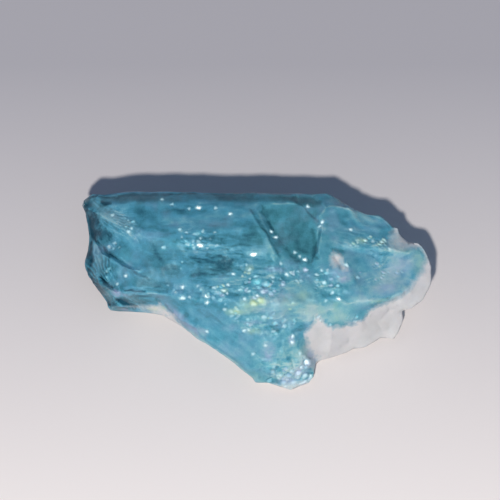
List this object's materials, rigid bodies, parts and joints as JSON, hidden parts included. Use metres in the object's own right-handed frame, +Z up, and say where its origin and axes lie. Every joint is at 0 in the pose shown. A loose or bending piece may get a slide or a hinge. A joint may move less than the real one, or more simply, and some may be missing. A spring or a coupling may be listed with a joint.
{
  "type": "aqua aura quartz",
  "caption": "Rough broken shard of clear quartz with a blue-green metal film on its upper side and bare milky quartz at one end; it lies on its flattest side.",
  "frame": {"origin": "centre of the bounding box's underside, on the surface that the stone lies on", "axes": "+X along the stone towards its bare milky end, +Y towards its long straight side, +Z up"},
  "size_m": [0.0348, 0.0188, 0.0094],
  "materials": {
    "aura_quartz": "glassy broken quartz, blue-green vapour-deposited film above, bare milky quartz at the right end and below"
  },
  "bodies": {
    "root": {"quartz": "aura_quartz"}
  },
  "joints": []
}
